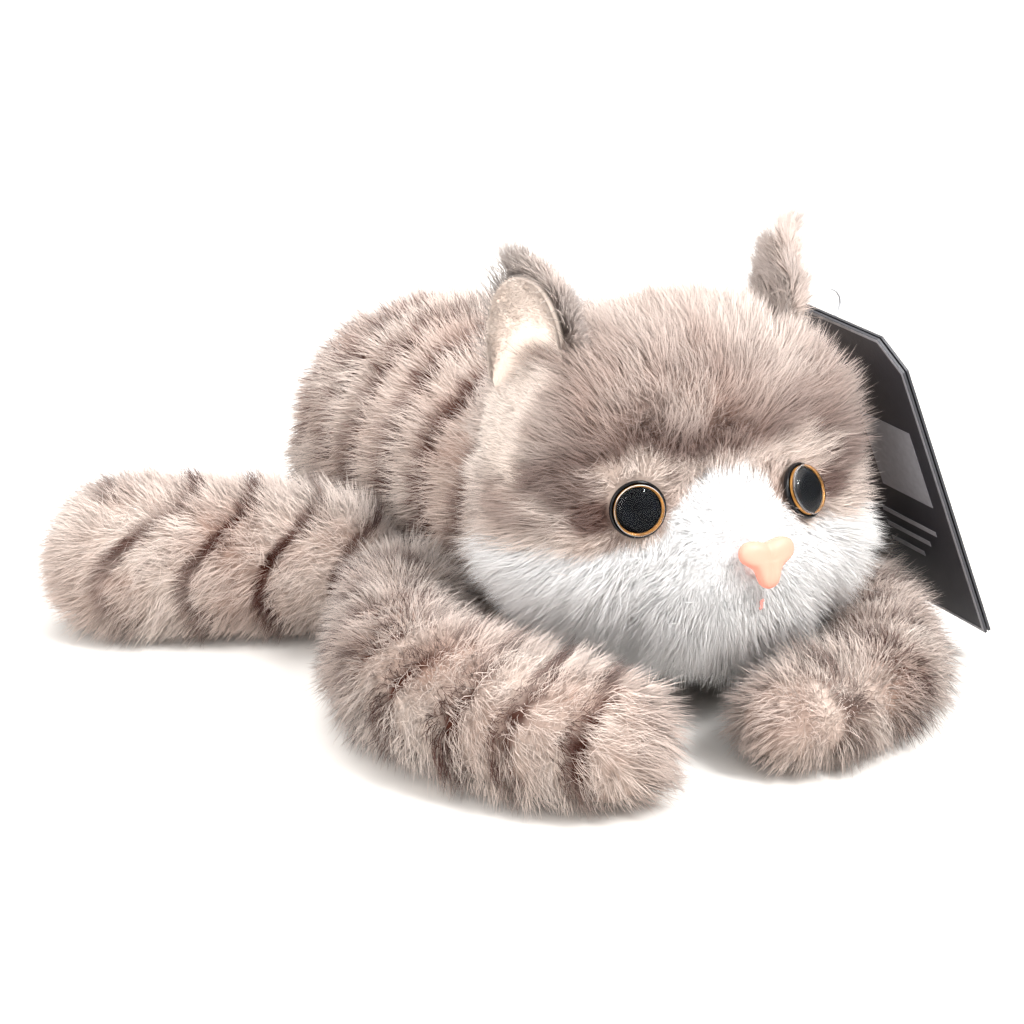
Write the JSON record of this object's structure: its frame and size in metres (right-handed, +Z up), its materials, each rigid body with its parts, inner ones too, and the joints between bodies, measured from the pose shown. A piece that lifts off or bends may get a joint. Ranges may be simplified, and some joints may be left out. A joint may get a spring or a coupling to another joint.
{
  "type": "plush cat",
  "caption": "Lying striped plush cat with splayed legs, white muzzle, dome eyes, small cupped ears, curled tail and a dark hang tag beside the head.",
  "frame": {"origin": "centre of the bounding box in plan, on the floor plane the toy lies on", "axes": "+Z up; the cat looks along -Y; +X is the cat's left side"},
  "size_m": [0.2618, 0.268, 0.1165],
  "materials": {
    "plush_taupe": "long striped plush pile",
    "plush_white": "long white plush pile",
    "plush_cream": "pale plush pile",
    "velour": "short velour",
    "fibre": "loose fibre filling",
    "bean_bag": "cloth bag of pellets",
    "eye_black": "gloss",
    "eye_gold": "gold ring",
    "eye_clear": "clear dome",
    "washer": "matte",
    "nose_pink": "satin",
    "thread_pink": "embroidery thread",
    "tag_card": "coated card",
    "label_satin": "satin ribbon",
    "clear_plastic": "thin clear loop"
  },
  "bodies": {
    "torso": {"belly_panel": "plush_cream", "back_panel_left": "plush_taupe", "back_panel_right": "plush_taupe", "torso_stuffing": "fibre", "belly_bean_bag": "bean_bag", "rump_bean_bag": "bean_bag", "neck_gusset": "plush_taupe", "care_label": "label_satin"},
    "head": {"head_back_panel": "plush_taupe", "head_crown_panel_left": "plush_taupe", "head_crown_panel_right": "plush_taupe", "head_cheek_panel_left": "plush_white", "head_cheek_panel_right": "plush_white", "head_muzzle_panel": "plush_white", "head_stuffing": "fibre", "nose": "nose_pink", "nose_washer": "washer", "mouth_stitch": "thread_pink", "eye_back_left": "eye_black", "eye_pupil_left": "eye_black", "eye_gold_ring_left": "eye_gold", "eye_clear_dome_left": "eye_clear", "eye_washer_left": "washer", "eye_back_right": "eye_black", "eye_pupil_right": "eye_black", "eye_gold_ring_right": "eye_gold", "eye_clear_dome_right": "eye_clear", "eye_washer_right": "washer"},
    "ear_left": {"ear_plush_left": "plush_taupe", "ear_lining_left": "velour"},
    "ear_right": {"ear_plush_right": "plush_taupe", "ear_lining_right": "velour"},
    "tail": {"tail_top": "plush_taupe", "tail_under": "plush_taupe", "tail_stuffing": "fibre"},
    "tag": {"tag_inner_card": "tag_card", "tag_outer_card": "tag_card", "tag_fastener_loop": "clear_plastic"},
    "fore_left_leg": {"leg_top_fore_left": "plush_taupe", "leg_under_fore_left": "plush_cream", "leg_stuffing_fore_left": "fibre", "paw_bean_bag_fore_left": "bean_bag"},
    "fore_right_leg": {"leg_top_fore_right": "plush_taupe", "leg_under_fore_right": "plush_cream", "leg_stuffing_fore_right": "fibre", "paw_bean_bag_fore_right": "bean_bag"},
    "hind_left_leg": {"leg_top_hind_left": "plush_taupe", "leg_under_hind_left": "plush_cream", "leg_stuffing_hind_left": "fibre", "paw_bean_bag_hind_left": "bean_bag"},
    "hind_right_leg": {"leg_top_hind_right": "plush_taupe", "leg_under_hind_right": "plush_cream", "leg_stuffing_hind_right": "fibre", "paw_bean_bag_hind_right": "bean_bag"}
  },
  "joints": [
    {"name": "head_turn", "type": "hinge", "parent": "torso", "child": "head", "pos_m": [0.0052, -0.0569, 0.062], "axis": [0, 0, 1], "range_deg": [-10, 0]},
    {"name": "fore_right_swing", "type": "hinge", "parent": "torso", "child": "fore_right_leg", "pos_m": [-0.0553, -0.0184, 0.016], "axis": [0, 0, 1], "range_deg": [-25, 0]},
    {"name": "fore_left_swing", "type": "hinge", "parent": "torso", "child": "fore_left_leg", "pos_m": [0.0597, -0.0174, 0.016], "axis": [0, 0, 1], "range_deg": [0, 5]},
    {"name": "hind_right_swing", "type": "hinge", "parent": "torso", "child": "hind_right_leg", "pos_m": [-0.0568, 0.0226, 0.016], "axis": [0, 0, 1], "range_deg": [-12, 12]},
    {"name": "hind_left_swing", "type": "hinge", "parent": "torso", "child": "hind_left_leg", "pos_m": [0.0655, 0.0267, 0.016], "axis": [0, 0, 1], "range_deg": [-12, 12]},
    {"name": "tail_swing", "type": "hinge", "parent": "torso", "child": "tail", "pos_m": [0.0162, 0.1106, 0.01], "axis": [0, 0, 1], "range_deg": [-15, 15]},
    {"name": "ear_left_fold", "type": "hinge", "parent": "head", "child": "ear_left", "pos_m": [0.0422, -0.0509, 0.0962], "axis": [0.3948, 0.9135, -0.0979], "range_deg": [0, 6]},
    {"name": "ear_right_fold", "type": "hinge", "parent": "head", "child": "ear_right", "pos_m": [-0.0316, -0.0509, 0.0962], "axis": [0.3948, -0.9135, 0.0979], "range_deg": [0, 18]},
    {"name": "tag_swing", "type": "hinge", "parent": "head", "child": "tag", "pos_m": [0.0567, -0.0405, 0.0979], "axis": [0, 1, 0], "range_deg": [-25, 0]}
  ]
}
